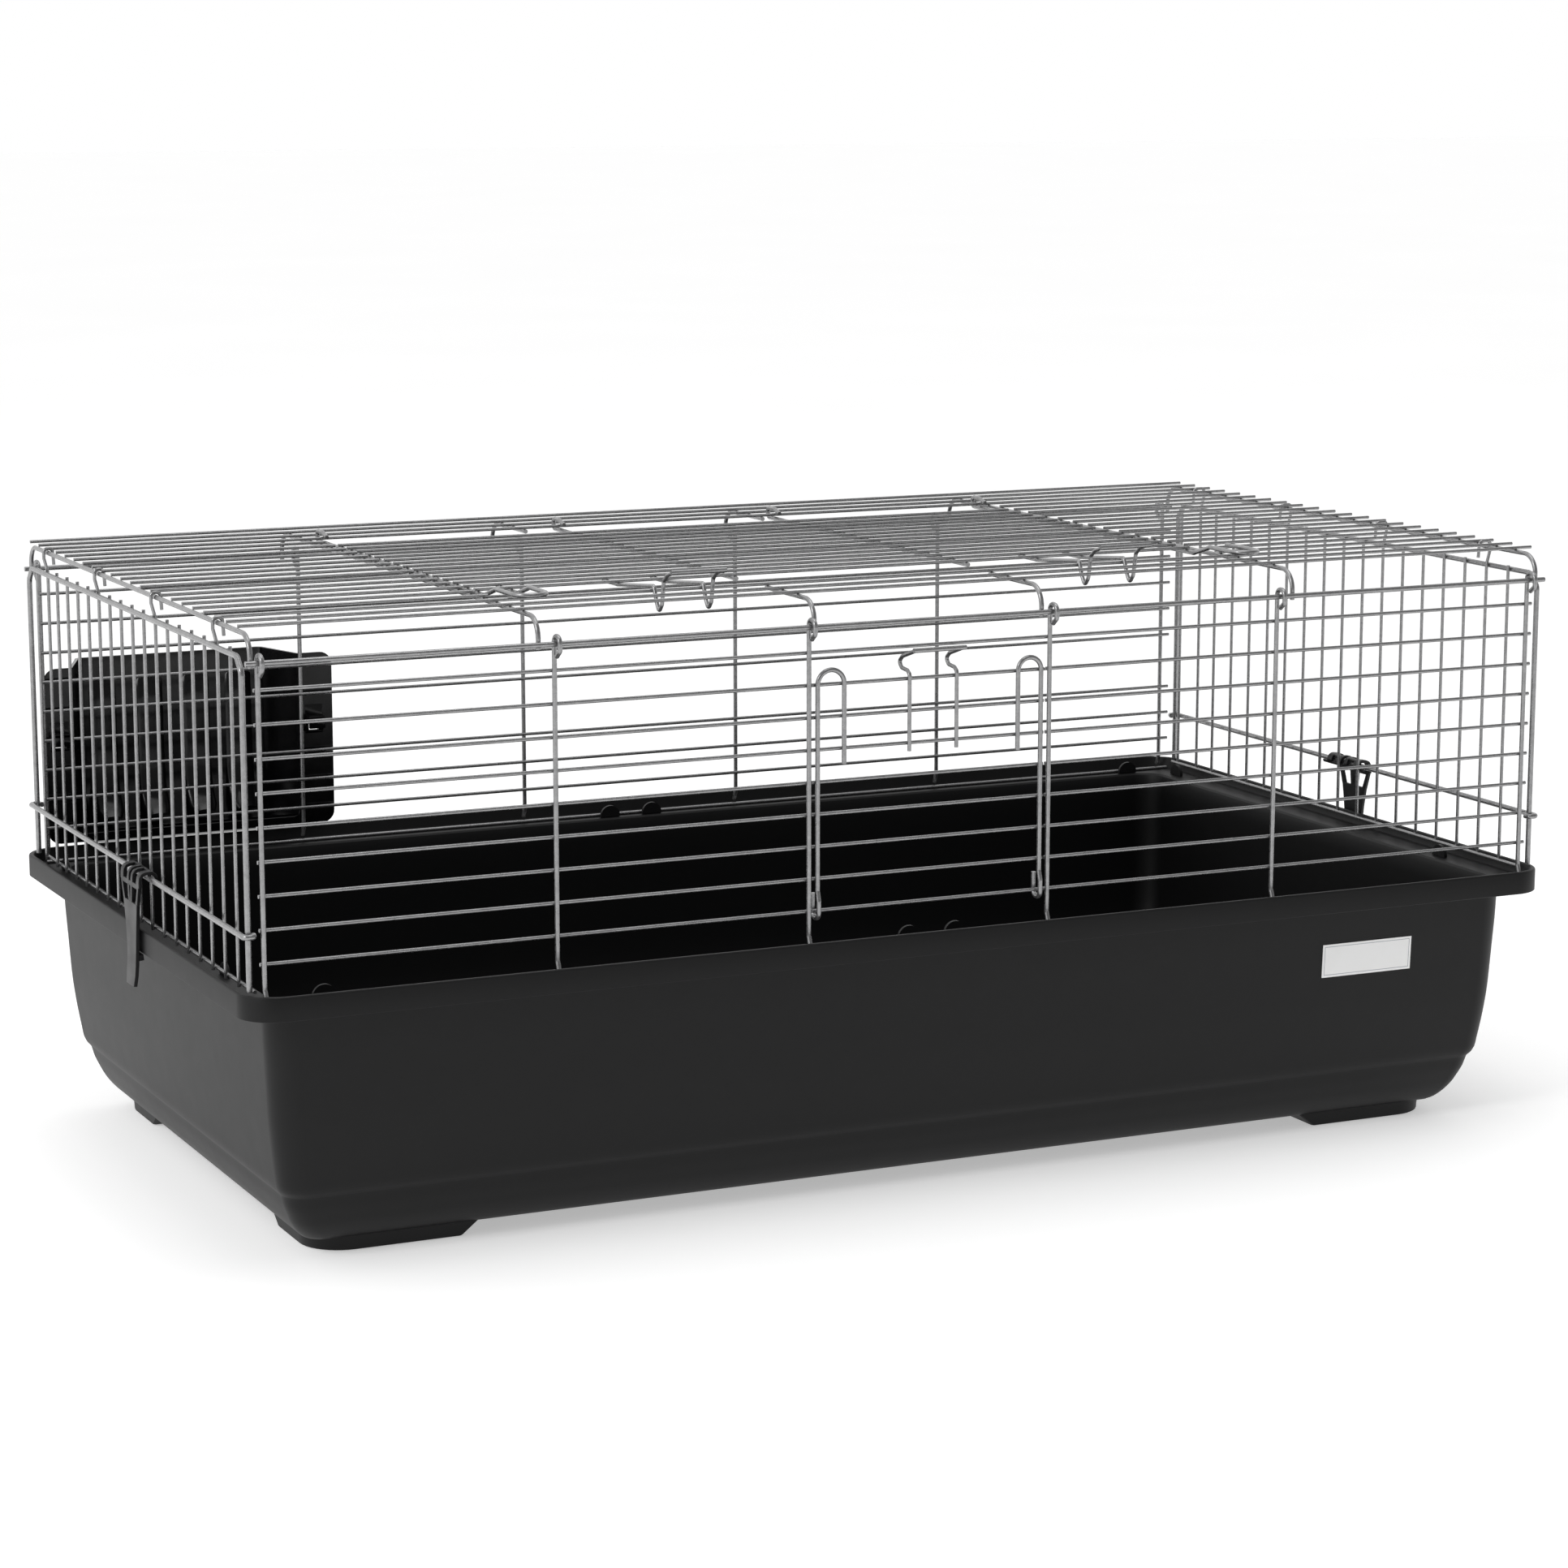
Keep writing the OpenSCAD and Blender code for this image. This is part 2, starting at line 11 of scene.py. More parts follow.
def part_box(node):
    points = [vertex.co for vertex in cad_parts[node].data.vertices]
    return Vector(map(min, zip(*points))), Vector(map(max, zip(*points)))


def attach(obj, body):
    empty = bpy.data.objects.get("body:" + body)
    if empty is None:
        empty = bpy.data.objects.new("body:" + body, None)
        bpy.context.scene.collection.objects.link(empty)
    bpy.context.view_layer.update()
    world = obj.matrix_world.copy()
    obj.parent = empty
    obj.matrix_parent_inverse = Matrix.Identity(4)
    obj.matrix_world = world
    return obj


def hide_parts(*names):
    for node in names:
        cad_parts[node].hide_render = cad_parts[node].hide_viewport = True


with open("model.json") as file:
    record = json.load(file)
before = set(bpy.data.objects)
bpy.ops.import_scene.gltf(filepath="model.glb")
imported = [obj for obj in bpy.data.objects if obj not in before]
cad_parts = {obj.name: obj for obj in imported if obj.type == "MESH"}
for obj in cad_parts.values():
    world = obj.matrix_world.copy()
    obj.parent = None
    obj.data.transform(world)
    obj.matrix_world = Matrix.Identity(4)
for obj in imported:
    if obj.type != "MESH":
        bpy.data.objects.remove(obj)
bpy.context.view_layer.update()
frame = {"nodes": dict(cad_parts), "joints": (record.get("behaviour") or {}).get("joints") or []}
MM = 0.001


# ---------------------------------------------------------------- mesh helpers

def new_piece(name, verts, faces, body, slot, material, replaces=(), sharp=38.0):
    """A mesh piece in metres, smooth shaded with its sharp edges kept, riding on a CAD body."""
    mesh = bpy.data.meshes.new(name)
    mesh.from_pydata([tuple(v) for v in verts], [], faces)
    mesh.validate()
    obj = bpy.data.objects.new(name, mesh)
    bpy.context.scene.collection.objects.link(obj)
    finish_mesh(obj, sharp)
    mesh.materials.append(material)
    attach(obj, body)
    if replaces:
        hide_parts(*replaces)
    return obj


def finish_mesh(obj, sharp=38.0):
    """Outward normals, and smooth shading except across edges sharper than the angle given."""
    bm = bmesh.new()
    bm.from_mesh(obj.data)
    bmesh.ops.remove_doubles(bm, verts=bm.verts, dist=1e-6)
    bmesh.ops.recalc_face_normals(bm, faces=bm.faces)
    for f in bm.faces:
        f.smooth = True
    for e in bm.edges:
        e.smooth = len(e.link_faces) == 2 and e.calc_face_angle(0) < math.radians(sharp)
    bm.to_mesh(obj.data)
    bm.free()


def merged(parts):
    """Several (verts, faces) shells as one."""
    verts, faces = [], []
    for v, f in parts:
        base = len(verts)
        verts += list(v)
        faces += [tuple(i + base for i in face) for face in f]
    return verts, faces


def soften(obj, width):
    """A small bevel on the sharp edges of a piece."""
    bevel = obj.modifiers.new("edges", "BEVEL")
    bevel.width = width
    bevel.segments = 2
    bevel.limit_method = "ANGLE"


def loft(rings, close=True):
    """Faces through rings of equal length; the first and last ring are capped when close is set."""
    n = len(rings[0])
    verts = [p for r in rings for p in r]
    faces = []
    for k in range(len(rings) - 1):
        for i in range(n):
            j = (i + 1) % n
            faces.append((k * n + i, k * n + j, (k + 1) * n + j, (k + 1) * n + i))
    if close:
        faces.append(tuple(range(n - 1, -1, -1)))
        faces.append(tuple((len(rings) - 1) * n + i for i in range(n)))
    return verts, faces


def rounded_ring(a, b, c, z, steps=14, centre=(0.0, 0.0)):
    """A rounded rectangle of half sizes a and b and corner radius c, at height z."""
    ring = []
    for q, (sx, sy) in enumerate(((1, 1), (-1, 1), (-1, -1), (1, -1))):
        for s in range(steps + 1):
            t = math.radians(90 * q + 90 * s / steps)
            ring.append(Vector((centre[0] + sx * (a - c) + c * math.cos(t),
                                centre[1] + sy * (b - c) + c * math.sin(t), z)))
    return ring


# ---------------------------------------------------------------- materials

def nodes_of(name):
    mat = bpy.data.materials.new(name)
    mat.use_nodes = True
    tree = mat.node_tree
    return mat, tree, tree.nodes["Principled BSDF"]


def noise(tree, scale, detail=3.0, stretch=(1, 1, 1), roughness=0.5):
    """Noise in the row frame, stretched along an axis by a factor below 1."""
    place = tree.nodes.new("ShaderNodeTexCoord")
    mapping = tree.nodes.new("ShaderNodeMapping")
    mapping.inputs["Scale"].default_value = stretch
    tex = tree.nodes.new("ShaderNodeTexNoise")
    tex.inputs["Scale"].default_value = scale
    tex.inputs["Detail"].default_value = detail
    tex.inputs["Roughness"].default_value = roughness
    tree.links.new(place.outputs["Object"], mapping.inputs["Vector"])
    tree.links.new(mapping.outputs["Vector"], tex.inputs["Vector"])
    return tex.outputs["Fac"]


def ramp(tree, value, low, high, start=0.3, end=0.7):
    """Maps a value to a range of colours or of numbers."""
    node = tree.nodes.new("ShaderNodeValToRGB")
    node.color_ramp.elements[0].position = start
    node.color_ramp.elements[1].position = end
    as_rgb = lambda c: (c, c, c, 1) if isinstance(c, (int, float)) else (*c, 1)
    node.color_ramp.elements[0].color = as_rgb(low)
    node.color_ramp.elements[1].color = as_rgb(high)
    tree.links.new(value, node.inputs["Fac"])
    return node.outputs["Color"]


def bump(tree, shader, value, strength, distance):
    node = tree.nodes.new("ShaderNodeBump")
    node.inputs["Strength"].default_value = strength
    node.inputs["Distance"].default_value = distance
    tree.links.new(value, node.inputs["Height"])
    tree.links.new(node.outputs["Normal"], shader.inputs["Normal"])


def wire_material(name, tone):
    """Bright zinc-plated wire: satin metal with a slightly mottled plating."""
    mat, tree, shader = nodes_of(name)
    shader.inputs["Metallic"].default_value = 0.85
    mottle = noise(tree, 260, 4)
    tree.links.new(ramp(tree, mottle, tuple(tone * c for c in (0.84, 0.84, 0.85)),
                        tuple(tone * c for c in (1.05, 1.05, 1.06))), shader.inputs["Base Color"])
    tree.links.new(ramp(tree, noise(tree, 420, 3), 0.24, 0.36), shader.inputs["Roughness"])
    bump(tree, shader, noise(tree, 900, 3), 0.08, 0.0002)
    return mat


def plastic_material(name, dark, light, rough_low, rough_high, grain=0.12, specular=0.4):
    """Moulded plastic: almost black, with a fine grain and faint uneven gloss."""
    mat, tree, shader = nodes_of(name)
    shader.inputs["Specular IOR Level"].default_value = specular
    tree.links.new(ramp(tree, noise(tree, 9, 4), dark, light), shader.inputs["Base Color"])
    tree.links.new(ramp(tree, noise(tree, 60, 5), rough_low, rough_high), shader.inputs["Roughness"])
    bump(tree, shader, noise(tree, 2400, 2), grain, 0.0002)
    return mat


def label_material(name, low, high):
    """A plain white sticker with a thin grey line inside its edge."""
    mat, tree, shader = nodes_of(name)
    shader.inputs["Specular IOR Level"].default_value = 0.3
    geo = tree.nodes.new("ShaderNodeNewGeometry")
    split = tree.nodes.new("ShaderNodeSeparateXYZ")
    tree.links.new(geo.outputs["Position"], split.inputs["Vector"])

    def maths(operation, *values):
        """A math node; each value is a number or another node's output."""
        node = tree.nodes.new("ShaderNodeMath")
        node.operation = operation
        for socket, value in zip(node.inputs, values):
            if isinstance(value, (int, float)):
                socket.default_value = value
            else:
                tree.links.new(value, socket)
        return node.outputs[0]

    def inset(axis, lo, hi):
        """Distance from the nearer of two edges along one axis."""
        return maths("MINIMUM", maths("SUBTRACT", split.outputs[axis], lo),
                     maths("SUBTRACT", hi, split.outputs[axis]))

    line_inset, line_half_width = 1.8 * MM, 0.25 * MM
    near = maths("MINIMUM", inset("X", low[0], high[0]), inset("Z", low[2], high[2]))
    line = maths("COMPARE", near, line_inset, line_half_width)
    mix = tree.nodes.new("ShaderNodeMix")
    mix.data_type = "RGBA"
    tree.links.new(line, mix.inputs["Factor"])
    tree.links.new(ramp(tree, noise(tree, 40, 3), (0.93, 0.93, 0.92), (0.97, 0.97, 0.97)), mix.inputs["A"])
    mix.inputs["B"].default_value = (0.45, 0.46, 0.50, 1)
    tree.links.new(mix.outputs["Result"], shader.inputs["Base Color"])
    tree.links.new(ramp(tree, noise(tree, 120, 3), 0.38, 0.5), shader.inputs["Roughness"])
    bump(tree, shader, noise(tree, 1500, 2), 0.05, 0.0001)
    return mat


zinc = wire_material("zinc_wire", 0.33)
tray_plastic = plastic_material("tray_plastic", (0.0034, 0.0034, 0.0036), (0.0038, 0.0038, 0.0041),
                                0.48, 0.50, 0.08, 0.27)
clip_plastic = plastic_material("clip_plastic", (0.0035, 0.0035, 0.004), (0.0055, 0.0055, 0.006),
                                0.34, 0.46, 0.10, 0.35)
rack_plastic = plastic_material("rack_plastic", (0.0025, 0.0025, 0.003), (0.0038, 0.0038, 0.0042),
                                0.14, 0.22, 0.04, 0.35)
label_paper = label_material("label_paper", *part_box("label"))

for node, obj in frame["nodes"].items():
    paint = zinc
    if node in ("tray", "tray_tabs"):
        paint = tray_plastic
    elif node == "label":
        paint = label_paper
    elif node in ("left_clip", "right_clip"):
        paint = clip_plastic
    elif node == "hay_rack":
        paint = rack_plastic
    if not obj.material_slots:
        obj.data.materials.append(paint)
    for s in obj.material_slots:
        s.material = paint


# ---------------------------------------------------------------- tray

tray_low, tray_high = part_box("tray")
TRAY_A = (tray_high.x - tray_low.x) / 2
TRAY_B = (tray_high.y - tray_low.y) / 2
RIM_TOP = tray_high.z
RIM_CORNER = 26 * MM
LEDGE = 181.9 * MM


def smooth_outline(points, steps=3):
    """A finer outline through the points (Catmull-Rom), so the curve of the wall shades evenly."""
    out = []
    n = len(points)
    for i in range(n - 1):
        p0, p1, p2, p3 = points[max(i - 1, 0)], points[i], points[i + 1], points[min(i + 2, n - 1)]
        for s in range(steps):
            t = s / steps
            out.append(tuple(0.5 * (2 * p1[k] + (p2[k] - p0[k]) * t
                                    + (2 * p0[k] - 5 * p1[k] + 4 * p2[k] - p3[k]) * t * t
                                    + (3 * p1[k] - p0[k] - 3 * p2[k] + p3[k]) * t ** 3) for k in (0, 1)))
    out.append(points[-1])
    return out


def tray_shell():
    """The tray as one shell: floor, curved foot, stepped wall, rim with its skirt and lip, ledge and inside.

    Each outline point is how far in it lies from the rim's outer edge and its height, both in millimetres.
    """
    lower = [(88, 6.0)] + smooth_outline([(56.4, 10.0), (52.6, 12.4), (47.9, 17.4), (43.9, 23.2),
                                          (41.0, 29.0), (37.7, 36.7), (35.9, 43.5), (35.2, 45.4)])
    upper = smooth_outline([(33.0, 47.9), (31.1, 52.2), (30.0, 59.0), (27.8, 73.5), (26.0, 88.0),
                            (24.7, 102.5), (23.1, 131.5), (22.0, 150.8), (21.5, 165.3), (21.1, 177.6)], 2)
    top = RIM_TOP / MM
    ledge = LEDGE / MM
    skirt = [(20.2, ledge - 2.5), (3.8, ledge - 2.2), (2.6, ledge - 3.4), (2.5, top - 16.1),
             (2.2, top - 16.5), (0.4, top - 16.5), (0.05, top - 16.1), (0, top - 1.4)]
    lip = [(0.25, top - 0.6), (0.8, top - 0.1), (1.4, top), (2.3, top), (2.9, top - 0.25),
           (3.2, top - 0.9), (4.5, ledge + 1.2), (4.9, ledge + 0.4)]
    shelf = [(5.6, ledge), (25.0, ledge), (26.6, ledge - 0.5), (27.8, ledge - 1.8), (28.9, ledge - 5.5)]
    inside = smooth_outline([(29.3, 165), (29.3, 131.5), (29.8, 102.5), (31.0, 73.5), (32.9, 59.0),
                             (34.0, 52.2), (35.7, 48.6), (37.9, 45.4), (40.5, 36.7), (43.8, 29.0),
                             (46.6, 23.2), (50.6, 17.9), (54.8, 14.6), (64, 12.2)], 2) + [(84, 9.6)]
    rings = []
    for d, z in lower + upper + skirt + lip + shelf + inside:
        corner = max(RIM_CORNER - 0.25 * d * MM, 8 * MM)
        rings.append(rounded_ring(TRAY_A - d * MM, TRAY_B - d * MM, corner, z * MM))
    return loft(rings)


def foot(sx, sy):
    """One corner foot: upright outer walls round the tray's corner and sloping inner ends."""
    outer_x, outer_y, corner = 441.5, 222, 30
    inner_y_back = 189  # the inner end lies this much nearer the middle along Y than along X
    levels = ((0, 337, -0.9), (0.35, 336, -0.25), (0.9, 335.2, 0), (11.0, 323, 0.6), (12.6, 321.4, 0.7))
    rings = []
    for z, inner, grow in levels:
        low_y = inner - inner_y_back
        pts = [(inner + 2, low_y), (outer_x + grow - 1.5, low_y), (outer_x + grow, low_y + 1.5)]
        for degrees in range(0, 91, 9):
            t = math.radians(degrees)
            pts.append((outer_x - corner + (corner + grow) * math.cos(t),
                        outer_y - corner + (corner + grow) * math.sin(t)))
        pts += [(inner + 1.2, outer_y + grow), (inner, outer_y + grow - 1.2), (inner, low_y + 2)]
        ring = [Vector((sx * x * MM, sy * y * MM, z * MM)) for x, y in pts]
        rings.append(ring if sx * sy > 0 else ring[::-1])
    return loft(rings)


feet = [foot(sx, sy) for sx in (-1, 1) for sy in (-1, 1)]
new_piece("tray_shell", *tray_shell(), "cage", "tray_plastic", tray_plastic, ["tray"], 24)
new_piece("tray_feet", *merged(feet), "cage", "tray_plastic", tray_plastic, (), 30)


# ---------------------------------------------------------------- side clips

def strap(path, half_width, thickness):
    """A flat band along a path of (x, z) points; half_width is given at each point. Drawn round Y."""
    rings = []
    for i, p in enumerate(path):
        before, after = path[max(i - 1, 0)], path[min(i + 1, len(path) - 1)]
        along = Vector((after[0] - before[0], after[1] - before[1])).normalized()
        side = Vector((-along.y, along.x)) * (thickness / 2)
        lo, hi = half_width[i]
        ring = []
        for y, s in ((lo, -1), (hi, -1), (hi, 1), (lo, 1)):
            ring.append((p[0] + s * side.x, y, p[1] + s * side.y))
        rings.append([Vector(q) * MM for q in ring])
    return loft(rings)


def clip_shells(claw_x):
    """Head of four bands round the bar, a tapering arm with windows, and a claw that hooks under the rim."""
    arch_radius = 4.1
    arch = [(arch_radius * math.cos(math.radians(t)), arch_radius * math.sin(math.radians(t)))
            for t in range(-40, 110, 10)]
    shoulder = arch + [(-3.4, 3.8), (-5.6, 2.9), (-6.9, 0.9), (-7.3, -2.2), (-7.3, -6.0)]
    parts = []
    for lo, hi in ((-22, -15.5), (-6.5, -2.2), (2.2, 6.5), (15.5, 22)):
        parts.append(strap(shoulder, [(lo, hi)] * len(shoulder), 2.3))
    crown = arch[9:14]
    parts.append(strap(crown, [(-21.8, -2.4)] * len(crown), 2.1))
    parts.append(strap(crown, [(2.4, 21.8)] * len(crown), 2.1))
    inner_edge = arch[0:4]
    parts.append(strap(inner_edge, [(-28.5, 28.5)] * len(inner_edge), 2.2))
    parts.append(strap([(-7.25, -4.0), (-7.35, -7.6)], [(-21.6, 21.6), (-20.4, 20.4)], 2.2))
    arm = [(-7.3, -18.5), (-7.2, -26), (-7.1, -34), (-7.1, -44), (-7.2, -54), (-7.5, -62), (-8.2, -70),
           (-9.0, -77.5)]
    wide = [16.2, 14.6, 13.0, 11.6, 10.6, 10.4, 10.4, 9.0]
    parts.append(strap(arm, [(-w, w) for w in wide], 2.6))
    leg = [(-7.3, -6.5), (-7.3, -11), (-7.25, -19.5)]
    parts.append(strap(leg, [(-20.8, -17.4), (-19.2, -15.6), (-16.2, -12.0)], 2.5))
    parts.append(strap(leg, [(17.4, 20.8), (15.6, 19.2), (12.0, 16.2)], 2.5))
    parts.append(strap(leg, [(-5.4, -1.6), (-5.0, -1.2), (-3.8, 0.2)], 2.5))
    parts.append(strap(leg, [(1.6, 5.4), (1.2, 5.0), (-0.2, 3.8)], 2.5))
    claw = [(-6.6, -57.2), (-4.5, -57.0), (claw_x, -56.8)]
    parts.append(strap(claw, [(-10.2, 10.2)] * 3, 4.4))
    return merged(parts)


for side, claw_x in (("left", -2.8), ("right", 1.4)):
    verts, faces = clip_shells(claw_x)
    joint = next(j for j in frame["joints"] if j["child"] == side + "_clip")
    axis = Vector(joint["pos_m"])
    sign = 1 if side == "left" else -1
    placed = [Vector((sign * v[0], sign * v[1], v[2])) + axis for v in verts]
    clip_piece = new_piece(side + "_clip_moulding", placed, faces, side + "_clip", "clip_plastic",
                           clip_plastic, [side + "_clip"], 40)
    soften(clip_piece, 0.35 * MM)


# ---------------------------------------------------------------- hay rack

rack_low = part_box("hay_rack")[0]
FLANGE_Y = rack_low.y + 9.4 * MM  # the flange's cage side; the hooks reach 9.4 mm past it
WALL = 2.2 * MM
RACK_TOP = 328.6 * MM
RACK_DEPTH = 50 * MM
TUB_X = (-460 * MM, -283 * MM)  # the tub's inside at the flange
ROW_LOW, ROW_PITCH, ROW_RADIUS = 208.8 * MM, 22.2 * MM, 1.25 * MM
row_top = ROW_LOW + 3 * ROW_PITCH + ROW_RADIUS + 0.45 * MM  # the underside of the hooks
WINDOW = (row_top - 9 * MM, row_top - 2 * MM)  # heights of the small opening under each hook


def tub_line(x0, x1, y1, corner, steps=5):
    """Plan of the tub's wall from the flange at x0, round the back, to the flange at x1: (x, y) points."""
    taper_left, taper_right = 16.2 * MM, 13.2 * MM
    pts = [(x0, FLANGE_Y)]
    for s in range(steps + 1):
        t = math.radians(180 - 90 * s / steps)
        pts.append((x0 + taper_left + corner + corner * math.cos(t), y1 - corner + corner * math.sin(t)))
    for s in range(steps + 1):
        t = math.radians(90 - 90 * s / steps)
        pts.append((x1 - taper_right - corner + corner * math.cos(t), y1 - corner + corner * math.sin(t)))
    pts.append((x1, FLANGE_Y))
    return pts


def rack_tub():
    """An open-topped tub whose foot hangs behind the tray's rim and curves forward to the flange."""
    (x0, x1), depth = TUB_X, RACK_DEPTH
    # height in millimetres, and the part of the full depth that the wall has there
    belly = [(328.6, 1), (318, 1), (290, 1), (262, 1), (232, 1), (220, 0.985), (210, 0.96), (202, 0.92),
             (195.5, 0.87), (191, 0.80), (188.6, 0.72), (187.9, 0.62), (187.8, 0.5), (190, 0.40),
             (194, 0.28), (199, 0.14), (201, 0.03)]

    def underside(y):
        """The lowest the tub may be at a depth: it stays above the tray's rim and drops behind it."""
        return 201 * MM - max(0, min(13 * MM, (y - FLANGE_Y - 2 * MM) * 13 / 17))

    outer, inner = [], []
    for height, f in belly:
        z = height * MM
        outer.append([Vector((x, y, max(z, underside(y)))) for x, y in
                      tub_line(x0 - WALL, x1 + WALL, FLANGE_Y + depth * f, min(7 * MM, depth * f * 0.45))])
        lift = WALL if z < 215 * MM else 0
        inside = (depth - WALL) * f
        inner.append([Vector((x, y, max(z, underside(y)) + lift)) for x, y in
                      tub_line(x0, x1, FLANGE_Y + inside, min(6 * MM, inside * 0.45))])
    n = len(outer[0])
    verts = [p for r in outer for p in r] + [p for r in inner for p in r]
    base = len(outer) * n
    faces = []
    for k in range(len(outer) - 1):
        for i in range(n - 1):
            a, b, c, d = k * n + i, k * n + i + 1, (k + 1) * n + i + 1, (k + 1) * n + i
            faces.append((a, b, c, d))
            faces.append((base + a, base + d, base + c, base + b))
    last = (len(outer) - 1) * n
    for i in range(n - 1):
        faces.append((i, base + i, base + i + 1, i + 1))
        faces.append((last + i, last + i + 1, base + last + i + 1, base + last + i))
    for k in range(len(outer) - 1):
        for e in (0, n - 1):
            faces.append((k * n + e, (k + 1) * n + e, base + (k + 1) * n + e, base + k * n + e))
    return verts, faces


def rack_flange():
    """A plate round the tub's mouth, with rounded corners, a window at each side and an open top."""
    low_x, high_x, low_z, high_z = -482 * MM, -255 * MM, 194.8 * MM, RACK_TOP
    (x0, x1), sill = TUB_X, 201.5 * MM
    r, outline = 9.6 * MM, []
    for cx, cz, start in ((low_x + r, high_z - r, 90), (low_x + r, low_z + r, 180),
                          (high_x - r, low_z + r, 270), (high_x - r, high_z - r, 0)):
        for s in range(7):
            t = math.radians(start + 90 * s / 6)
            outline.append((cx + r * math.cos(t), cz + r * math.sin(t)))
    outline += [(x1 + 1 * MM, high_z), (x1, high_z - 1 * MM), (x1, WINDOW[1]),
                (-266.5 * MM, WINDOW[1]), (-266.5 * MM, WINDOW[0]), (x1, WINDOW[0]), (x1, sill + 5 * MM),
                (x1 - 1.5 * MM, sill + 1.5 * MM),
                (x1 - 5 * MM, sill), (x0 + 5 * MM, sill), (x0 + 1.5 * MM, sill + 1.5 * MM),
                (x0, sill + 5 * MM),
                (x0, WINDOW[0]), (-475 * MM, WINDOW[0]), (-475 * MM, WINDOW[1]), (x0, WINDOW[1]),
                (x0, high_z - 1 * MM), (x0 - 1 * MM, high_z)]
    rings = [[Vector((x, y, z)) for x, z in outline] for y in (FLANGE_Y, FLANGE_Y + WALL)]
    return loft(rings)


def bar_box(x0, x1, y0, y1, z0, z1, chamfer=0.5 * MM):
    """A moulded block with chamfered long edges."""
    rings = []
    for y, inset in ((y0, chamfer), (y0 + chamfer, 0), (y1 - chamfer, 0), (y1, chamfer)):
        a0, a1, b0, b1 = x0 + inset, x1 - inset, z0 + inset, z1 - inset
        c = chamfer
        corners = ((a0 + c, b0), (a1 - c, b0), (a1, b0 + c), (a1, b1 - c),
                   (a1 - c, b1), (a0 + c, b1), (a0, b1 - c), (a0, b0 + c))
        rings.append([Vector((x, y, z)) for x, z in corners])
    return loft(rings)


def flute(x, width):
    """A raised rib on the tub's back wall that runs down and curves forward into the foot."""
    back = FLANGE_Y + RACK_DEPTH - WALL + 0.3 * MM
    deep = 3.2 * MM
    route = [(back - 1.0 * MM, 313 * MM), (back - 2.6 * MM, 309 * MM), (back - 3.0 * MM, 290 * MM),
             (back - 3.0 * MM, 262 * MM), (back - 3.4 * MM, 240 * MM), (back - 5.2 * MM, 229 * MM),
             (back - 8.8 * MM, 220 * MM), (back - 15 * MM, 212 * MM), (back - 21 * MM, 207.5 * MM)]
    rings = []
    for k, (y, z) in enumerate(route):
        w = width / 2 * (0.7 if k in (0, len(route) - 1) else 1)
        prev, nxt = route[max(k - 1, 0)], route[min(k + 1, len(route) - 1)]
        along = Vector((nxt[0] - prev[0], nxt[1] - prev[1])).normalized()
        out = Vector((along.y, -along.x))
        if out.x < 0:
            out = -out
        ring = []
        for s in range(9):
            t = math.pi * s / 8
            rise = deep - deep * math.sin(t)
            ring.append(Vector((x + w * math.cos(t), y + out.x * rise, z + out.y * rise)))
        rings.append(ring)
    return loft(rings)


new_piece("hay_rack_tub", *rack_tub(), "hay_rack", "rack_plastic", rack_plastic, ["hay_rack"], 30)
flange_piece = new_piece("hay_rack_flange", *rack_flange(), "hay_rack", "rack_plastic", rack_plastic, (), 30)
soften(flange_piece, 0.6 * MM)
ribs = [flute(x * MM, 22 * MM) for x in (-424, -387, -350, -316)]
new_piece("hay_rack_ribs", *merged(ribs), "hay_rack", "rack_plastic", rack_plastic, (), 50)
hooks = []
for x in (-477.5 * MM, -277 * MM):
    reach, lip_back = FLANGE_Y - 9.4 * MM, FLANGE_Y - 7.2 * MM
    hooks.append(bar_box(x, x + 13 * MM, reach, FLANGE_Y + 0.6 * MM, row_top, row_top + 3 * MM))
    hooks.append(bar_box(x, x + 13 * MM, reach, lip_back, row_top - 6.6 * MM, row_top + 2.6 * MM))
    left, right = x - 1.5 * MM, x + 14.5 * MM
    y0, y1 = FLANGE_Y - 0.2 * MM, FLANGE_Y + 4.8 * MM
    hooks.append(bar_box(left, right, y0, y1, WINDOW[1], row_top + 12 * MM, 0.9 * MM))
    hooks.append(bar_box(left, right, y0, y1, row_top - 12 * MM, WINDOW[0], 0.9 * MM))
    for edge in (left, right - 4 * MM):
        hooks.append(bar_box(edge, edge + 4 * MM, y0, y1, WINDOW[0] - 1 * MM, WINDOW[1] + 1 * MM))
# the flange between each window and the tub
for x, wide in ((-467 * MM, 7.2 * MM), (TUB_X[1], 8.5 * MM)):
    hooks.append(bar_box(x, x + wide, FLANGE_Y, FLANGE_Y + WALL,
                         WINDOW[0] - 0.5 * MM, WINDOW[1] + 0.5 * MM, 0.2 * MM))
new_piece("hay_rack_hooks", *merged(hooks), "hay_rack", "rack_plastic", rack_plastic, (), 40)


# ---------------------------------------------------------------- studio

def stage_plane(name, size, centre, material):
    verts = [Vector((sx * size, sy * size, 0)) + Vector(centre)
             for sx, sy in ((-1, -1), (1, -1), (1, 1), (-1, 1))]
    mesh = bpy.data.meshes.new(name)
    mesh.from_pydata([tuple(v) for v in verts], [], [(0, 1, 2, 3)])
    mesh.materials.append(material)
    obj = bpy.data.objects.new(name, mesh)
    bpy.context.scene.collection.objects.link(obj)
    return obj


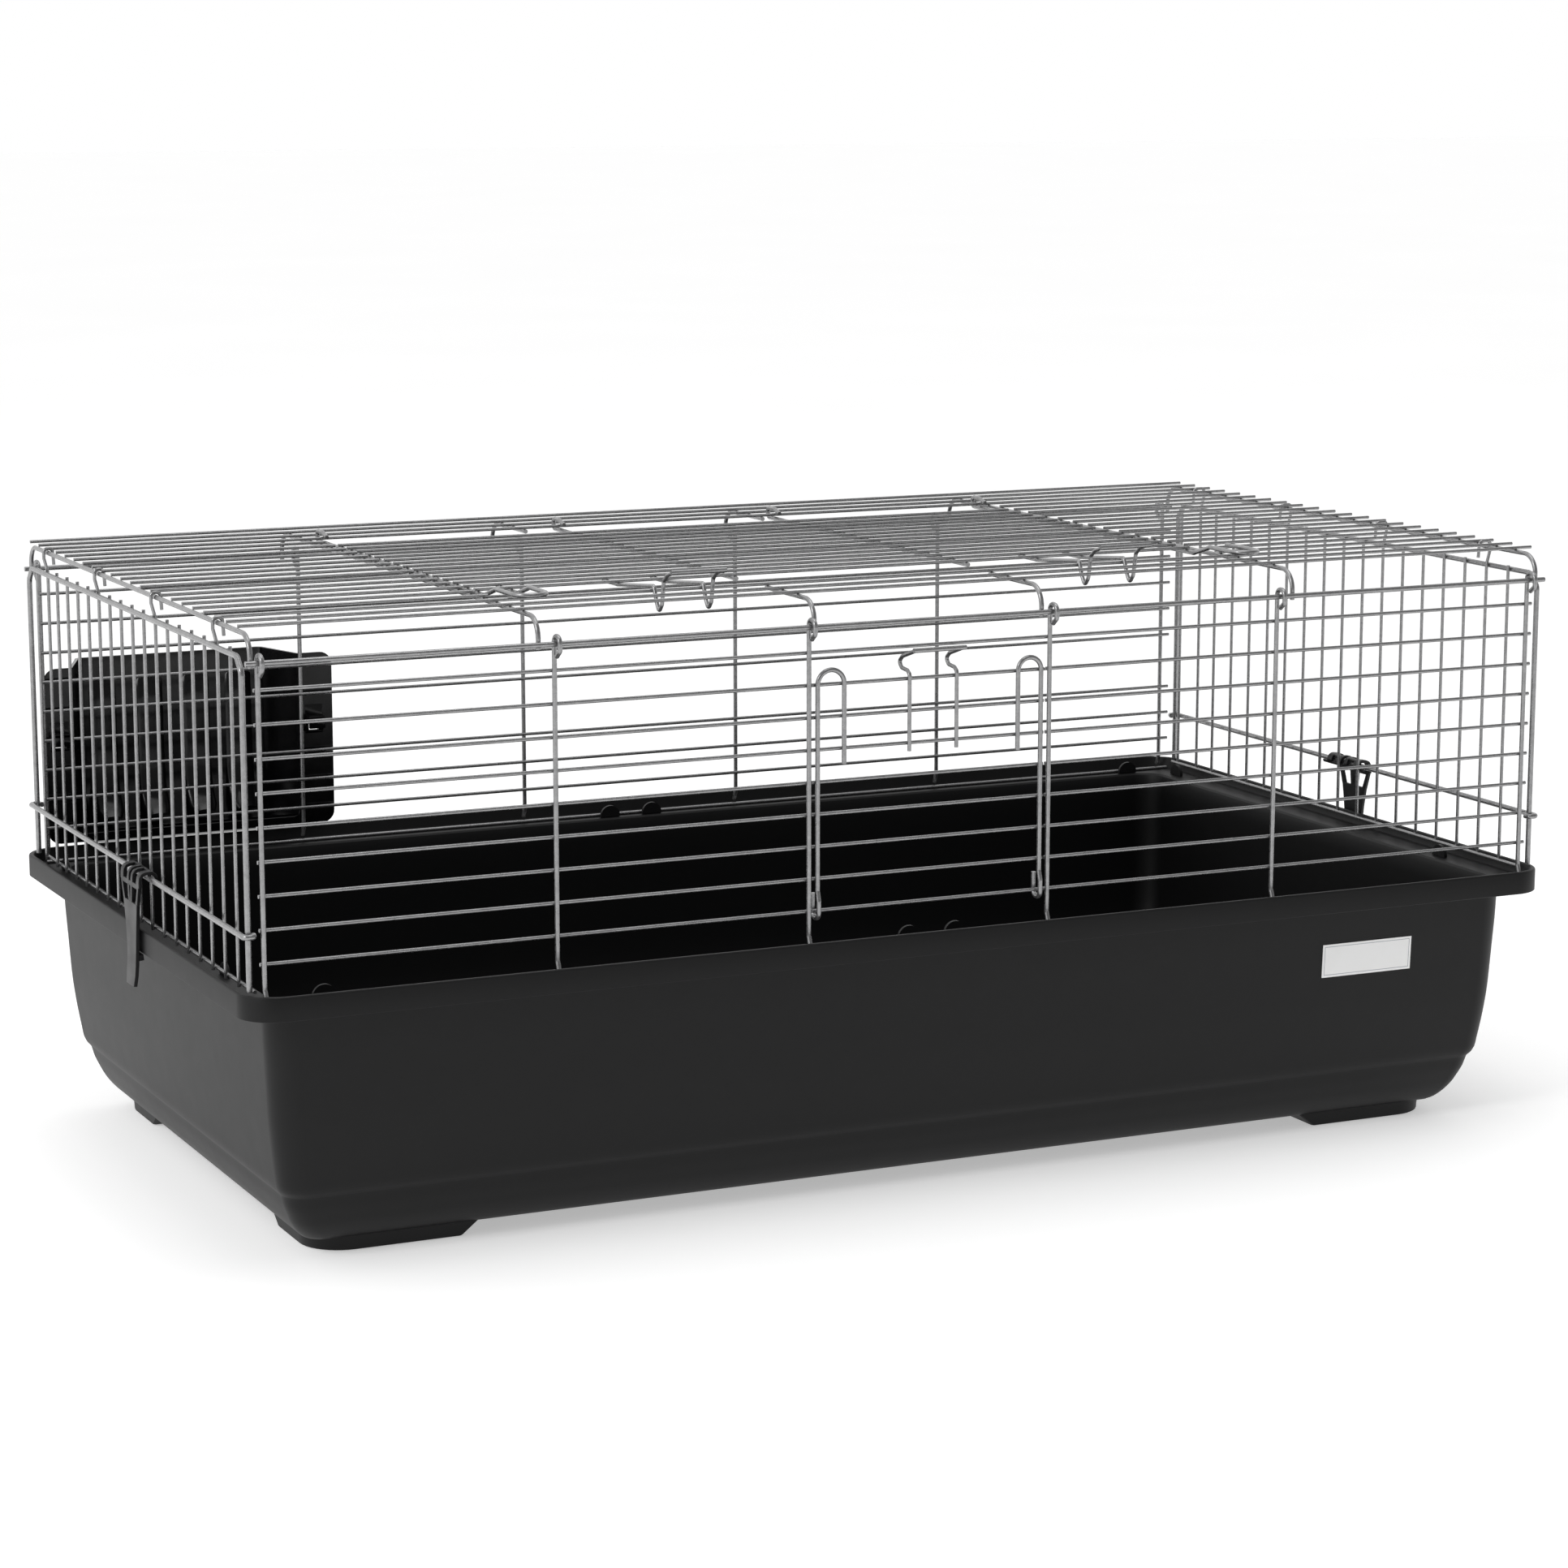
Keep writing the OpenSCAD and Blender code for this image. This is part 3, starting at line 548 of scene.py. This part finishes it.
floor_paint, floor_tree, floor_shader = nodes_of("studio_floor")
floor_tone = ramp(floor_tree, noise(floor_tree, 1.5, 2), 0.84, 0.86)
floor_tree.links.new(floor_tone, floor_shader.inputs["Base Color"])
floor_shader.inputs["Roughness"].default_value = 0.9
floor_shader.inputs["Specular IOR Level"].default_value = 0.1
floor_shader.inputs["Emission Color"].default_value = (1, 1, 1, 1)
floor_shader.inputs["Emission Strength"].default_value = 0.42
stage_plane("studio_floor", 30.0, (0, 0, -0.0005), floor_paint)


def studio_world():
    """A white surround, grey on the side that faces the front of the cage and above it."""
    world = bpy.data.worlds.new("studio")
    bpy.context.scene.world = world
    world.use_nodes = True
    tree = world.node_tree
    place = tree.nodes.new("ShaderNodeTexCoord")
    toward_front = tree.nodes.new("ShaderNodeVectorMath")
    toward_front.operation = "DOT_PRODUCT"
    toward_front.inputs[1].default_value = (0.30, -0.90, 0.32)
    tree.links.new(place.outputs["Generated"], toward_front.inputs[0])
    shade = ramp(tree, toward_front.outputs["Value"], 1.0, 0.26, 0.0, 0.6)
    tree.links.new(shade, tree.nodes["Background"].inputs["Color"])
    tree.nodes["Background"].inputs["Strength"].default_value = 1.0


studio_world()


def area_light(name, place, target, size, power):
    data = bpy.data.lights.new(name, "AREA")
    data.shape = "RECTANGLE"
    data.size, data.size_y = size
    data.energy = power
    obj = bpy.data.objects.new(name, data)
    obj.location = place
    obj.rotation_mode = "QUATERNION"
    obj.rotation_quaternion = (Vector(target) - Vector(place)).to_track_quat("-Z", "Y")
    bpy.context.scene.collection.objects.link(obj)
    return obj


area_light("key_left", (-3.2, -1.2, 2.4), (0, 0, 0.2), (1.2, 1.2), 35)
area_light("top_soft", (0.2, -0.4, 3.4), (0, 0, 0.2), (2.0, 2.0), 25)

camera_data = bpy.data.cameras.new("photo_view")
camera_data.sensor_width = 36
camera_data.lens = 93.72
camera_data.shift_x = 0.0002
camera_data.shift_y = 0.0288
camera_data.clip_end = 100
camera = bpy.data.objects.new("photo_view", camera_data)
camera.matrix_world = (Matrix.Translation((-1.2654, -2.7129, 0.7819))
                       @ Matrix.Rotation(math.radians(-25.126), 4, "Z")
                       @ Matrix.Rotation(math.radians(90 - 10.754), 4, "X")
                       @ Matrix.Rotation(math.radians(-0.030), 4, "Z"))
bpy.context.scene.collection.objects.link(camera)
bpy.context.scene.camera = camera
bpy.context.scene.view_settings.view_transform = "Standard"
